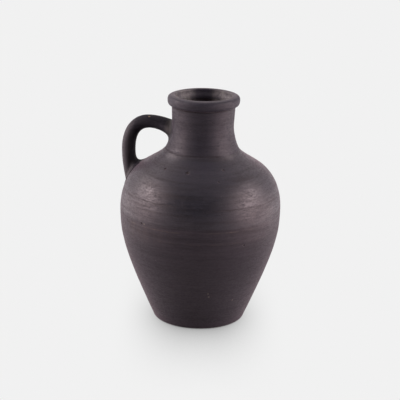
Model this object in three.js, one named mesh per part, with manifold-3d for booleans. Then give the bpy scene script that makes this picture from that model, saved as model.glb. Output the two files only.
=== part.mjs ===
// One-handled jug of smoke-blackened earthenware, in millimetres, +Z up, standing on z = 0.
// It is made as a potter makes it: a floor disc, two thrown halves that meet at the belly, a thrown neck,
// a rolled lip, and a pulled strap handle along -X that is luted on at both ends with coils of soft clay.
// Profile points are (radius, height) pairs. A lean is a wall's angle from the vertical, outward positive.

import * as THREE from "three";
import { mergeVertices } from "three/addons/utils/BufferGeometryUtils.js";
import Module from "manifold-3d";

const { Vector2, Vector3 } = THREE;
const radians = THREE.MathUtils.degToRad;

// Luted seams: the film of slip, and the tongue and groove that key one piece into the next
const slip = 0.3;
const grooveDepth = 1.5;
const grooveWidth = 4;

// Floor disc
const footRadius = 51.3;
const footLean = radians(23.7);
const footEdge = 2;
const floorThickness = 9;

// Lower half of the belly
const footWall = 8;
const lowerRise = 120.4;
const bellyRadius = 91;
const bellyWall = 6.5;

// Shoulder: a dome that breaks into a hollow flare below the neck
const breakRise = 45.4;
const breakRadius = 72;
const breakLean = radians(-48.7);
const breakWall = 6.5;
const shoulderRise = 68.2;
const seamRadius = 42;
const seamLean = radians(-36.2);
const seamWall = 6;

// Neck, with its waist above the seam and its lip seat at the top
const waistRise = 26.5;
const waistRadius = 34.7;
const neckRise = 51.5;
const seatRadius = 35.6;
const neckWall = 6;

// Rolled lip
const rimHeight = 9.7;
const rimRadius = 40.5;
const rimCrestRadius = 36;
const rimCrestDrop = 4.9;
const mouthRadius = 31.5;
const mouthDrop = 3.6;
const rimLean = radians(84);

// Strap handle: its section, its swollen roots and its route
const strapWidth = 26;
const strapThickness = 13.2;
const tailWidth = 23;
const tailThickness = 12;
const rootSwellWidth = 8;
const rootSwellThickness = 3;
const rootLength = 20;
const rootSink = 14;
const handleProud = 5;
const upperRootRise = 20;
const upperRootClimb = radians(22);
const turnDrop = 28.9;
const lowerRootRise = 14;
const lowerRootDepth = 9;
const lowerRootLean = radians(12);

// Luting coils round the roots: how far along the strap they reach, the upper one from the neck and the lower one
// from where the strap's inner face leaves the shoulder, the run over which they thin, their thickness all round,
// the heel of clay pressed into the loop's inner corner, and the feathered edge
const upperLutingReach = 15;
const upperLutingRun = 15;
const upperLutingThickness = 1.6;
const upperLutingHeel = 3;
const lowerLutingReach = 17.1;
const lowerLutingRun = 11.5;
const lowerLutingThickness = 1.4;
const lowerLutingHeel = 18;
const lutingEdge = 0.8;

// How full each curve is: the pull of its two ends, as shares of its chord
const lowerFullness = [0.65, 0.21];
const domeFullness = [0.4, 0.32];
const flareFullness = [0.28, 0.29];
const neckFullness = [0.19, 0.32];
const throatFullness = [0.33, 0.33];
const lipFullness = [0.48, 0.48];
const archFullness = [0.45, 0.63];
const dropFullness = [0.41, 0.33];
const strapSquareness = 0.95;

// Facets round the pot and round the strap, and steps along each curve
const facets = 48;
const strapSides = 18;
const strapSteps = 28;
const lutingSteps = 10;
const routeSteps = 200;
const lowerSteps = 10;
const domeSteps = 6;
const flareSteps = 6;
const neckSteps = 5;
const throatSteps = 3;
const edgeSteps = 4;

// Heights of the stack, each seam with its film of slip
const floorTop = floorThickness;
const lowerBottom = floorTop + slip;
const lowerTop = lowerBottom + lowerRise;
const shoulderBottom = lowerTop + slip;
const shoulderTop = shoulderBottom + shoulderRise;
const neckBottom = shoulderTop + slip;
const neckTop = neckBottom + neckRise;
const rimBottom = neckTop + slip;
const rimTop = rimBottom + rimHeight;

// Unit vector along a wall of the given lean, going up
function upAlong(lean) {
  return new Vector2(Math.sin(lean), Math.cos(lean));
}

// A place on the wall: its outer corner, its lean, and its inner corner square across the wall
function station(radius, height, lean, wall) {
  const outer = new Vector2(radius, height);
  const inward = new Vector2(-Math.cos(lean), Math.sin(lean));
  return { outer, lean, inner: outer.clone().addScaledVector(inward, wall) };
}

// The foot of the wall, whose inner corner lies level with the outer one on the floor disc
function footStation(height) {
  const outer = new Vector2(footRadius + height * Math.tan(footLean), height);
  const inner = new Vector2(outer.x - footWall / Math.cos(footLean), height);
  return { outer, lean: footLean, inner };
}

// Cubic curve between two points that leaves and arrives along the given leans
function leanCurve(start, startLean, end, endLean, [startPull, endPull]) {
  const chord = start.distanceTo(end);
  const afterStart = start.clone().addScaledVector(upAlong(startLean), chord * startPull);
  const beforeEnd = end.clone().addScaledVector(upAlong(endLean), -chord * endPull);
  return new THREE.CubicBezierCurve(start, afterStart, beforeEnd, end);
}

// Points up one side of a wall, through runs of [from, to, fullness, steps]
function wallPoints(runs, side) {
  const points = [runs[0][0][side]];
  for (const [from, to, fullness, steps] of runs) {
    const curve = leanCurve(from[side], from.lean, to[side], to.lean, fullness);
    points.push(...curve.getPoints(steps).slice(1));
  }
  return points;
}

// The keyed part of a seam, from its outer to its inner side: a V along the middle of the wall
function seamKey({ outer, inner }) {
  const middle = outer.clone().lerp(inner, 0.5);
  const across = inner.clone().sub(outer).normalize();
  const down = new Vector2(-across.y, across.x);
  return [
    middle.clone().addScaledVector(across, -grooveWidth / 2),
    middle.clone().addScaledVector(down, grooveDepth),
    middle.clone().addScaledVector(across, grooveWidth / 2),
  ];
}

// Solid of revolution of a profile that runs up the outside and down the inside
function revolve(profile) {
  return new THREE.LatheGeometry(profile, facets).rotateX(Math.PI / 2);
}

// A thrown ring of wall between its first and last station, keyed at both seams
function thrownRing(runs) {
  const bottom = runs[0][0];
  const top = runs.at(-1)[1];
  const outside = wallPoints(runs, "outer");
  const inside = wallPoints(runs, "inner").reverse();
  const bottomKey = seamKey(bottom).reverse();
  return revolve([...outside, ...seamKey(top), ...inside, ...bottomKey, outside[0]]);
}

// Stations of the wall, on both sides of each seam
const discSeam = footStation(floorTop);
const lowerFoot = footStation(lowerBottom);
const lowerBelly = station(bellyRadius, lowerTop, 0, bellyWall);
const shoulderBelly = station(bellyRadius, shoulderBottom, 0, bellyWall);
const shoulderBreak = station(breakRadius, shoulderBottom + breakRise, breakLean, breakWall);
const shoulderSeam = station(seamRadius, shoulderTop, seamLean, seamWall);
const neckSeam = station(seamRadius, neckBottom, seamLean, seamWall);
const neckWaist = station(waistRadius, neckBottom + waistRise, 0, neckWall);
const neckSeat = station(seatRadius, neckTop, 0, neckWall);
const rimSeat = station(seatRadius, rimBottom, 0, neckWall);

const lowerRuns = [[lowerFoot, lowerBelly, lowerFullness, lowerSteps]];
const shoulderRuns = [
  [shoulderBelly, shoulderBreak, domeFullness, domeSteps],
  [shoulderBreak, shoulderSeam, flareFullness, flareSteps],
];
const neckRuns = [
  [neckSeam, neckWaist, neckFullness, neckSteps],
  [neckWaist, neckSeat, throatFullness, throatSteps],
];

// Floor disc: flat underneath, a rounded bottom edge, a leaning side and a groove for the wall
function baseDisc() {
  const bottomEdge = new Vector2(footRadius - footEdge, 0);
  const sideEdge = new Vector2(footRadius + footEdge * Math.tan(footLean), footEdge);
  const corner = new Vector2(footRadius, 0);
  const edge = new THREE.QuadraticBezierCurve(bottomEdge, corner, sideEdge).getPoints(edgeSteps);
  const axisBottom = new Vector2(0, 0);
  const axisTop = new Vector2(0, floorTop);
  return revolve([axisBottom, ...edge, discSeam.outer, ...seamKey(discSeam), discSeam.inner, axisTop]);
}

// Rolled lip: an undercut swell, a rounded crest and a mouth that narrows to the neck's bore
function rimCoil() {
  const widest = new Vector2(rimRadius, rimTop - rimCrestDrop);
  const crest = new Vector2(rimCrestRadius, rimTop);
  const mouth = new Vector2(mouthRadius, rimTop - mouthDrop);
  const inward = radians(-90);
  const downward = radians(-180);
  const under = leanCurve(rimSeat.outer, rimLean, widest, 0, lipFullness);
  const outer = leanCurve(widest, 0, crest, inward, lipFullness);
  const inner = leanCurve(crest, inward, mouth, downward, lipFullness);
  const bore = leanCurve(mouth, downward, rimSeat.inner, downward, lipFullness);
  const swell = [under, outer, inner, bore].flatMap((curve) => curve.getPoints(edgeSteps).slice(1));
  return revolve([rimSeat.outer, ...swell, ...seamKey(rimSeat).reverse(), rimSeat.outer]);
}

// Outline of the whole outside of the wall, from the foot to the lip seat
const outline = wallPoints([...lowerRuns, ...shoulderRuns, ...neckRuns], "outer");

// Radius of the outside at a height
function radiusAt(height) {
  const above = outline.findIndex((point) => point.y > height);
  const [low, high] = [outline[above - 1], outline[above]];
  return THREE.MathUtils.mapLinear(height, low.y, high.y, low.x, high.x);
}

// The filled outside of the pot, set out by a clearance, which the handle and its luting are cut to fit
function bodyEnvelope(clearance) {
  const setOut = outline.map((point, i) => {
    const before = outline[Math.max(i - 1, 0)];
    const after = outline[Math.min(i + 1, outline.length - 1)];
    const along = after.clone().sub(before).normalize();
    return new Vector2(point.x + along.y * clearance, point.y - along.x * clearance);
  });
  const bottom = new Vector2(0, setOut[0].y);
  const top = new Vector2(0, setOut.at(-1).y);
  return revolve([bottom, ...setOut, top]);
}

// Route of the strap's middle: out and up from the neck, over, down beside the shoulder and into it
function handleRoute() {
  const upperHeight = neckBottom + upperRootRise;
  const lowerHeight = shoulderBottom + lowerRootRise;
  const start = new Vector2(radiusAt(upperHeight), upperHeight);
  const startLean = radians(90) - upperRootClimb;
  const turn = new Vector2(bellyRadius + handleProud - tailThickness / 2, upperHeight - turnDrop);
  const downward = radians(180);
  const end = new Vector2(radiusAt(lowerHeight) - lowerRootDepth, lowerHeight);
  const endLean = downward + lowerRootLean;
  const arch = leanCurve(start, startLean, turn, downward, archFullness);
  const drop = leanCurve(turn, downward, end, endLean, dropFullness);
  const sunkStart = start.clone().addScaledVector(upAlong(startLean), -rootSink);
  const sunkEnd = end.clone().addScaledVector(upAlong(endLean), rootSink);
  const inSpace = ({ x, y }) => new Vector3(-x, 0, y);
  const bend = ({ v0, v1, v2, v3 }) => new THREE.CubicBezierCurve3(...[v0, v1, v2, v3].map(inSpace));
  const route = new THREE.CurvePath();
  route.add(new THREE.LineCurve3(inSpace(sunkStart), inSpace(start)));
  route.add(bend(arch));
  route.add(bend(drop));
  route.add(new THREE.LineCurve3(inSpace(end), inSpace(sunkEnd)));
  return route;
}

const route = handleRoute();
const routeLength = route.getLength();

// The tapering strap at a share of its route: its middle, the way across it, the way out of its loop, and half of
// its width and of its thickness, both swollen towards either root
function strapAt(share) {
  const centre = route.getPointAt(share);
  const across = new Vector3(0, 1, 0);
  const outward = across.clone().cross(route.getTangentAt(share));
  const fromRoot = Math.min(share, 1 - share) * routeLength - rootSink;
  const swell = THREE.MathUtils.clamp(1 - fromRoot / rootLength, 0, 1) ** 2;
  const width = THREE.MathUtils.lerp(strapWidth, tailWidth, share) + rootSwellWidth * swell;
  const thickness = THREE.MathUtils.lerp(strapThickness, tailThickness, share) + rootSwellThickness * swell;
  return { centre, across, outward, halfWidth: width / 2, halfThickness: thickness / 2 };
}

// Ring round the strap at a share of its route, grown all round, with a heel that grows it further inside the loop
function strapRing(share, grown, heel = 0) {
  const { centre, across, outward, halfWidth, halfThickness } = strapAt(share);
  const squared = (value) => Math.sign(value) * Math.abs(value) ** strapSquareness;
  return Array.from({ length: strapSides }, (_, side) => {
    const turn = (-2 * Math.PI * side) / strapSides;
    const [sideways, up] = [squared(Math.cos(turn)), squared(Math.sin(turn))];
    const point = centre.clone().addScaledVector(across, (halfWidth + grown) * sideways);
    return point.addScaledVector(outward, (halfThickness + grown + (up > 0 ? 0 : heel)) * up);
  });
}

// Length of strap at the lower end of its route, past the root's sink, whose inner face is buried in the shoulder
function buriedLength() {
  const shares = Array.from({ length: routeSteps + 1 }, (_, step) => 1 - step / routeSteps);
  const clear = shares.find((share) => {
    const { centre, outward, halfThickness } = strapAt(share);
    const inner = centre.clone().addScaledVector(outward, -halfThickness);
    return -inner.x > radiusAt(inner.z);
  });
  return (1 - clear) * routeLength - rootSink;
}

// Closed skin over a row of rings, with a flat fan at each end
function loft(rings) {
  const sides = rings[0].length;
  const points = rings.flat();
  const index = [];
  for (let ring = 0; ring + 1 < rings.length; ring++) {
    for (let side = 0; side < sides; side++) {
      const here = ring * sides + side;
      const next = ring * sides + ((side + 1) % sides);
      index.push(here, next, next + sides, here, next + sides, here + sides);
    }
  }
  const last = points.length - sides;
  for (let side = 1; side + 1 < sides; side++) {
    index.push(0, side + 1, side, last, last + side, last + side + 1);
  }
  return new THREE.BufferGeometry().setFromPoints(points).setIndex(index);
}

// The strap from root to root, grown all round by a clearance
function strap(clearance) {
  const shares = Array.from({ length: strapSteps + 1 }, (_, step) => step / strapSteps);
  return loft(shares.map((share) => strapRing(share, clearance)));
}

// Sleeve of soft clay round the lower or upper end of the strap, thick at the end and feathered at its reach
function sleeve(atLowerEnd, reach, run, thickness, heel) {
  const rings = Array.from({ length: lutingSteps + 1 }, (_, step) => {
    const toEdge = (1 - step / lutingSteps) * (rootSink + reach);
    const fade = THREE.MathUtils.clamp(toEdge / run, 0, 1) ** 2;
    const share = (rootSink + reach - toEdge) / routeLength;
    const grown = THREE.MathUtils.lerp(lutingEdge, thickness, fade);
    return strapRing(atLowerEnd ? 1 - share : share, grown, heel * fade);
  });
  return loft(atLowerEnd ? rings.reverse() : rings);
}

const wasm = await Module();
wasm.setup();

// A closed geometry as a solid that can be cut
function solid(geometry) {
  const bare = geometry.clone();
  bare.deleteAttribute("normal");
  bare.deleteAttribute("uv");
  const welded = mergeVertices(bare);
  const corners = welded.index.array;
  const triVerts = [];
  for (let i = 0; i < corners.length; i += 3) {
    const [a, b, c] = corners.slice(i, i + 3);
    if (a !== b && b !== c && c !== a) triVerts.push(a, b, c);
  }
  const vertProperties = new Float32Array(welded.attributes.position.array);
  const skin = new wasm.Mesh({ numProp: 3, vertProperties, triVerts: new Uint32Array(triVerts) });
  return new wasm.Manifold(skin);
}

// A cut solid as a geometry again
function geometryOf(cut) {
  const { vertProperties, triVerts } = cut.getMesh();
  const geometry = new THREE.BufferGeometry();
  geometry.setAttribute("position", new THREE.BufferAttribute(vertProperties, 3));
  geometry.setIndex(new THREE.BufferAttribute(triVerts, 1));
  geometry.computeVertexNormals();
  return geometry;
}

const envelope = solid(bodyEnvelope(slip));
const strapSeat = solid(strap(slip));
const handle = solid(strap(0)).subtract(envelope);
const upperSleeve = sleeve(false, upperLutingReach, upperLutingRun, upperLutingThickness, upperLutingHeel);
const lowerReach = buriedLength() + lowerLutingReach;
const lowerSleeve = sleeve(true, lowerReach, lowerLutingRun, lowerLutingThickness, lowerLutingHeel);
const upperLuting = solid(upperSleeve).subtract(strapSeat).subtract(envelope);
const lowerLuting = solid(lowerSleeve).subtract(strapSeat).subtract(envelope);

// A named piece in its own shade of fired clay
function piece(name, geometry, color, roughness) {
  const material = new THREE.MeshStandardMaterial({ color, roughness, metalness: 0 });
  const mesh = new THREE.Mesh(geometry, material);
  mesh.name = name;
  return mesh;
}

const jug = new THREE.Group();
jug.add(
  piece("base_disc", baseDisc(), 0x352f31, 0.72),
  piece("lower_body", thrownRing(lowerRuns), 0x3d3538, 0.58),
  piece("shoulder", thrownRing(shoulderRuns), 0x3f393c, 0.52),
  piece("neck", thrownRing(neckRuns), 0x3f3a3e, 0.55),
  piece("rim", rimCoil(), 0x423d40, 0.55),
  piece("handle", geometryOf(handle), 0x332e32, 0.6),
  piece("upper_luting", geometryOf(upperLuting), 0x383337, 0.65),
  piece("lower_luting", geometryOf(lowerLuting), 0x383336, 0.65),
);

export default jug;
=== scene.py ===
import math

import bmesh
import bpy
from mathutils import Matrix, Vector, noise
from mathutils.geometry import interpolate_bezier


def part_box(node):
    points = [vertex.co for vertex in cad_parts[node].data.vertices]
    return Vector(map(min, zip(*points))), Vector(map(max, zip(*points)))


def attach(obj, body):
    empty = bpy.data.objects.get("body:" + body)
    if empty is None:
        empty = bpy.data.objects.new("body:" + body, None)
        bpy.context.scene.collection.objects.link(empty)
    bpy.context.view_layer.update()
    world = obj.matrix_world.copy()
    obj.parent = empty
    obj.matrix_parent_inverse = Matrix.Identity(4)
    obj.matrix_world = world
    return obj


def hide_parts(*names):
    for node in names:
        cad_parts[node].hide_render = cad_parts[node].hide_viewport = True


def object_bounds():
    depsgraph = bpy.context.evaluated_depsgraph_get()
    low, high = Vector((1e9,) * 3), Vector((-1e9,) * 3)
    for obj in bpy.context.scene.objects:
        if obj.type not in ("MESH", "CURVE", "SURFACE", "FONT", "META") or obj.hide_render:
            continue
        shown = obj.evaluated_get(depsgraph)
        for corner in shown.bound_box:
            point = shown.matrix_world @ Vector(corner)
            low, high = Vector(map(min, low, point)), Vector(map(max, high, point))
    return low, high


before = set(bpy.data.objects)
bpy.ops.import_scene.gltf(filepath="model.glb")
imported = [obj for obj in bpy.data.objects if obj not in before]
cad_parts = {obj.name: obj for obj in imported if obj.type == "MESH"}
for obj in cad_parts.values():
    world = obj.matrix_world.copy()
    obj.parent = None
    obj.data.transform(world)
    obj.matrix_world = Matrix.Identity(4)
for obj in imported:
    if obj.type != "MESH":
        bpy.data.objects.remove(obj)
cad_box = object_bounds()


# Foot: a flat disc of dark earthenware, thrown on the wheel head and cut away from it with a twisted wire.
# The wire leaves shell-shaped arcs underneath, the standing ring is left flat, and the bottom edge is
# rounded off with a wet finger.
disc_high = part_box("base_disc")[1]
foot_lean = math.radians(23.7)
foot_radius = disc_high.x - disc_high.z * math.tan(foot_lean)
foot_edge = 0.0022
foot_hollow = 0.0006
standing_width = 0.009
foot_wall = 0.008
floor_groove = 0.0004
wheel_steps = 160
wall_sway = 0.00022
still_middle = 0.012
spiral_rise = 0.0078
corner_angle = math.radians(40)
skin_depth = 0.00016
foot_soot = (0.0230, 0.0187, 0.0272, 1)
foot_bloom = (0.0333, 0.0270, 0.0372, 1)
bare_clay = (0.075, 0.056, 0.05, 1)
pit_shade = (0.004, 0.0035, 0.004, 1)
grit_pale = (0.2, 0.165, 0.15, 1)
burnish_tone = (1.0, 0.74, 0.76, 1)
bloom_tone = (1.0, 0.64, 0.74, 1)


def spun(outline):
    """Clay thrown on the wheel: an outline in the XZ plane, turned once round the pot's axis."""
    clay = bmesh.new()
    line = [clay.verts.new(point) for point in outline]
    edges = [clay.edges.new(pair) for pair in zip(line, line[1:])]
    bmesh.ops.spin(clay, geom=line + edges, cent=(0, 0, 0), axis=(0, 0, 1), angle=math.tau,
                   steps=wheel_steps, use_merge=True)
    bmesh.ops.remove_doubles(clay, verts=clay.verts, dist=1e-6)
    bmesh.ops.recalc_face_normals(clay, faces=clay.faces)
    return clay


def throw_marks(clay, ridge, groove):
    """The potter's hand in a thrown wall: a slow sway, faint ridges outside, a spiral of grooves inside."""
    clay.normal_update()
    for vert in clay.verts:
        reach = Vector((vert.co.x, vert.co.y, 0))
        if reach.length < still_middle:
            continue
        outward = reach.normalized()
        push = wall_sway * noise.noise(vert.co * 12)
        if vert.normal.dot(outward) > -0.2:
            push += ridge * noise.noise(Vector((0.3, 0.7, vert.co.z * 230)))
            push += ridge * noise.noise(Vector((vert.co.x * 5, vert.co.y * 5, vert.co.z * 120)))
        else:
            turn = math.atan2(vert.co.y, vert.co.x) / math.tau
            push += groove * math.sin(math.tau * (vert.co.z / spiral_rise + turn))
        vert.co += outward * push


def fired(name, clay, finish):
    """A finished piece from its clay: smooth where it is round, sharp at its corners, in its own finish."""
    mesh = bpy.data.meshes.new(name)
    clay.to_mesh(mesh)
    clay.free()
    mesh.shade_smooth()
    mesh.set_sharp_from_angle(angle=corner_angle)
    mesh.materials.append(finish)
    piece = bpy.data.objects.new(name, mesh)
    bpy.context.scene.collection.objects.link(piece)
    return piece


def place(tree, kind, inputs, **settings):
    """Adds a shader node and fills each named input with a value or with another node's output."""
    made = tree.nodes.new(kind)
    for name, value in settings.items():
        setattr(made, name, value)
    for name, value in inputs.items():
        if isinstance(value, bpy.types.NodeSocket):
            tree.links.new(value, made.inputs[name])
        else:
            made.inputs[name].default_value = value
    return made


def reckon(tree, operation, *values):
    """One step of arithmetic on values of a finish."""
    return place(tree, "ShaderNodeMath", dict(enumerate(values)), operation=operation).outputs[0]


def reckon_way(tree, operation, *ways):
    """One step of arithmetic on places or directions, which gives a new one or a value."""
    return place(tree, "ShaderNodeVectorMath", dict(enumerate(ways)), operation=operation).outputs


def spot_on(tree):
    """The place on the pot that a finish is colouring."""
    return place(tree, "ShaderNodeTexCoord", {}).outputs["Object"]


def axes_of(tree, spot):
    """A place or direction taken apart into its X, Y and Z."""
    return place(tree, "ShaderNodeSeparateXYZ", {"Vector": spot}).outputs


def stretched(tree, spot, across, upright):
    """A place scaled by one value across the pot and by another up it."""
    sizes = place(tree, "ShaderNodeCombineXYZ", {"X": across, "Y": across, "Z": upright}).outputs[0]
    return reckon_way(tree, "MULTIPLY", spot, sizes)["Vector"]


def mottle(tree, spot, scale=1.0, detail=2.0, roughness=0.5):
    """A cloudy pattern, between nought and one."""
    values = {"Vector": spot, "Scale": scale, "Detail": detail, "Roughness": roughness}
    return place(tree, "ShaderNodeTexNoise", values).outputs[0]


def share_of(tree, value, low, high, top=1.0, bottom=0.0, soft=False):
    """A value spread so that low gives the bottom share and high the top one, evenly or with soft ends."""
    spread = {"Value": value, "From Min": low, "From Max": high, "To Min": bottom, "To Max": top}
    ends = "SMOOTHSTEP" if soft else "LINEAR"
    return place(tree, "ShaderNodeMapRange", spread, interpolation_type=ends).outputs[0]


def tinted(tree, share, under, over):
    """One colour laid over another by a share."""
    return place(tree, "ShaderNodeMix", {"Factor": share, 6: under, 7: over}, data_type="RGBA").outputs[2]


def effect(name, inputs, outputs):
    """A new shader node group, with its inputs and outputs, for an effect that several finishes share."""
    tree = bpy.data.node_groups.new(name, "ShaderNodeTree")
    for socket, default in inputs.items():
        kind = "NodeSocketVector" if isinstance(default, tuple) else "NodeSocketFloat"
        tree.interface.new_socket(socket, in_out="INPUT", socket_type=kind).default_value = default
    for socket in outputs:
        tree.interface.new_socket(socket, in_out="OUTPUT", socket_type="NodeSocketFloat")
    return tree, tree.nodes.new("NodeGroupInput").outputs, tree.nodes.new("NodeGroupOutput").inputs


# Turning marks: long smears left round the pot by the rib, plainest on the belly, and hair-fine drags
turning, given, out = effect("turning_marks", {"Smears per metre": 230.0, "Drags per metre": 820.0},
                             ["Smears", "Drags"])
spot = spot_on(turning)
height = axes_of(turning, spot)["Z"]
wide = mottle(turning, stretched(turning, spot, 17.0, given["Smears per metre"]), detail=4.0, roughness=0.6)
hair = mottle(turning, stretched(turning, spot, 140.0, given["Drags per metre"]))
plain = share_of(turning, height, 0.13, 0.08, top=0.3, bottom=1.0, soft=True)
calm = share_of(turning, height, 0.185, 0.205, top=0.4, bottom=1.0, soft=True)
plain = reckon(turning, "MULTIPLY", plain, calm)
swing = reckon(turning, "SUBTRACT", wide, 0.5)
swing = reckon(turning, "MULTIPLY_ADD", swing, plain, 0.5)
turning.links.new(swing, out["Smears"])
turning.links.new(hair, out["Drags"])

# Kiln smoke: slow clouds where the smoke bit more or less, and smaller blotches inside them
smoke, given, out = effect("kiln_smoke", {"Clouds per metre": 17.0, "Blotches per metre": 95.0},
                           ["Clouds", "Blotches"])
spot = spot_on(smoke)
clouds = mottle(smoke, spot, given["Clouds per metre"], detail=3.0)
blotches = mottle(smoke, spot, given["Blotches per metre"], detail=4.0, roughness=0.6)
smoke.links.new(clouds, out["Clouds"])
smoke.links.new(blotches, out["Blotches"])

# Open grain of the fired clay: a leathery skin, fine tooth, burnt-out pits and pale specks of grit
counts = {"Skin per metre": 400.0, "Pits per metre": 70.0, "Grit per metre": 60.0}
grain, given, out = effect("clay_grain", counts, ["Skin", "Tooth", "Pits", "Grit"])
spot = spot_on(grain)
taller = reckon(grain, "MULTIPLY", given["Skin per metre"], 1.85)
leathery = mottle(grain, stretched(grain, spot, given["Skin per metre"], taller), roughness=0.6)
tooth = mottle(grain, spot, 1900.0, detail=3.0, roughness=0.6)
grain.links.new(leathery, out["Skin"])
grain.links.new(tooth, out["Tooth"])
for mark, rarity, size in (("Pits", 0.62, 0.055), ("Grit", 0.7, 0.045)):
    shifted = reckon_way(grain, "ADD", spot, (rarity, size, rarity))["Vector"]
    per_metre = given[mark + " per metre"]
    cells = place(grain, "ShaderNodeTexVoronoi", {"Vector": shifted, "Scale": per_metre}).outputs
    chance = place(grain, "ShaderNodeSeparateColor", {"Color": cells["Color"]}).outputs
    chosen = reckon(grain, "GREATER_THAN", chance[0], rarity)
    reach = reckon(grain, "MULTIPLY_ADD", chance[1], size, 0.4 * size)
    dot = share_of(grain, cells["Distance"], reach, 0.0, soft=True)
    grain.links.new(reckon(grain, "MULTIPLY", dot, chosen), out[mark])


def clay_finish(name, soot, bloom, dull, burnish, leather, shine=0.5, sheen=0.3):
    """Smoke-blackened earthenware, with a burnished skin that is worn through in its grain."""
    finish = bpy.data.materials.new(name)
    finish.use_nodes = True
    tree = finish.node_tree
    shader = tree.nodes["Principled BSDF"]
    marks = place(tree, "ShaderNodeGroup", {}, node_tree=turning).outputs
    kiln = place(tree, "ShaderNodeGroup", {}, node_tree=smoke).outputs
    body = place(tree, "ShaderNodeGroup", {}, node_tree=grain).outputs
    dark = (soot[0] * 0.45, soot[1] * 0.45, soot[2] * 0.45, 1)
    pale = (bloom[0] * 1.75, bloom[1] * 1.55, bloom[2] * 1.45, 1)
    colour = tinted(tree, share_of(tree, kiln["Clouds"], 0.3, 0.7), soot, bloom)
    colour = tinted(tree, share_of(tree, marks["Smears"], 0.55, 0.3, top=0.65), colour, pale)
    colour = tinted(tree, share_of(tree, kiln["Blotches"], 0.45, 0.75, top=0.22), colour, dark)
    colour = tinted(tree, share_of(tree, marks["Smears"], 0.5, 0.7, top=0.8), colour, dark)
    colour = tinted(tree, share_of(tree, marks["Drags"], 0.55, 0.75, top=0.12), colour, dark)
    # Pits, coloured near black: painted shade inside them
    colour = tinted(tree, body["Pits"], colour, pit_shade)
    colour = tinted(tree, share_of(tree, body["Grit"], 0.0, 1.0, top=0.7), colour, grit_pale)
    rough = share_of(tree, marks["Smears"], 0.3, 0.75, top=0.16)
    for part in (dull, share_of(tree, body["Skin"], 0.4, 0.62, top=0.22 * leather),
                 share_of(tree, marks["Drags"], 0.45, 0.68, top=0.2 * leather)):
        rough = reckon(tree, "ADD", rough, part)
    polish = share_of(tree, body["Skin"], 0.6, 0.4, top=burnish)
    for worn in (share_of(tree, marks["Smears"], 0.68, 0.44), share_of(tree, marks["Drags"], 0.66, 0.46)):
        polish = reckon(tree, "MULTIPLY", polish, worn)
    height = reckon(tree, "MULTIPLY", marks["Smears"], 0.4)
    for part, weight in ((marks["Drags"], -0.18 * leather), (body["Skin"], -0.45 * leather),
                         (body["Tooth"], 0.05), (body["Pits"], -1.2)):
        height = reckon(tree, "MULTIPLY_ADD", part, weight, height)
    shader.inputs["Specular IOR Level"].default_value = shine
    shader.inputs["Specular Tint"].default_value = burnish_tone
    shader.inputs["Coat Roughness"].default_value = 0.3
    shader.inputs["Sheen Weight"].default_value = sheen
    shader.inputs["Sheen Roughness"].default_value = 0.35
    shader.inputs["Sheen Tint"].default_value = bloom_tone
    return finish, tree, shader, {"colour": colour, "rough": rough, "polish": polish, "height": height}


def wear(tree, shader, skin, depth=skin_depth):
    """Joins a finish's colour, roughness, polish and height to its shader."""
    bump = place(tree, "ShaderNodeBump", {"Height": skin["height"], "Distance": depth, "Strength": 0.8})
    tree.links.new(skin["colour"], shader.inputs["Base Color"])
    tree.links.new(skin["rough"], shader.inputs["Roughness"])
    tree.links.new(skin["polish"], shader.inputs["Coat Weight"])
    tree.links.new(bump.outputs[0], shader.inputs["Normal"])


foot_corner = Vector((foot_radius, 0, 0))
stand_in = Vector((foot_radius - foot_edge - standing_width, 0, 0))
stand_out = Vector((foot_radius - foot_edge, 0, 0))
side_low = Vector((foot_radius + foot_edge * math.tan(foot_lean), 0, foot_edge))
disc_seam = Vector((disc_high.x, 0, disc_high.z))
disc_inner = Vector((disc_high.x - foot_wall / math.cos(foot_lean), 0, disc_high.z))
underside = [Vector((stand_in.x * step / 30, 0, foot_hollow * (1 - (step / 30) ** 6))) for step in range(30)]
edge_pulls = [spot.lerp(foot_corner, 0.6) for spot in (stand_out, side_low)]
round_edge = interpolate_bezier(stand_out, *edge_pulls, side_low, 9)
foot_side = [side_low.lerp(disc_seam, step / 12) for step in range(1, 12)]
floor_rings = [Vector((disc_inner.x * (1 - step / 60), 0,
                       disc_high.z - floor_groove * math.sin(step * 0.75) ** 2)) for step in range(61)]
disc = spun([*underside, stand_in, *round_edge, *foot_side, disc_seam, *floor_rings])
throw_marks(disc, ridge=0.00005, groove=0.0)

foot_finish, tree, shader, skin = clay_finish("foot_clay", foot_soot, foot_bloom,
                                              dull=0.44, burnish=0.1, leather=0.4)
spot = spot_on(tree)
pulled = place(tree, "ShaderNodeMapping",
               {"Vector": spot, "Location": (0.05, 0.11, 0.0), "Scale": (1.0, 0.8, 1.0)}).outputs[0]
arcs = place(tree, "ShaderNodeTexWave",
             {"Vector": pulled, "Scale": 75.0, "Distortion": 1.6, "Detail": 2.0, "Detail Scale": 6.0},
             wave_type="RINGS", rings_direction="Z").outputs["Fac"]
below = share_of(tree, axes_of(tree, spot)["Z"], 0.0016, 0.0009)
wire = reckon(tree, "MULTIPLY", arcs, below)
skin["height"] = reckon(tree, "MULTIPLY_ADD", wire, 3.0, skin["height"])
skin["colour"] = tinted(tree, reckon(tree, "MULTIPLY", below, 0.6), skin["colour"], bare_clay)
wear(tree, shader, skin)

foot = fired("foot_disc", disc, foot_finish)
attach(foot, "root")
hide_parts("base_disc")


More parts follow.
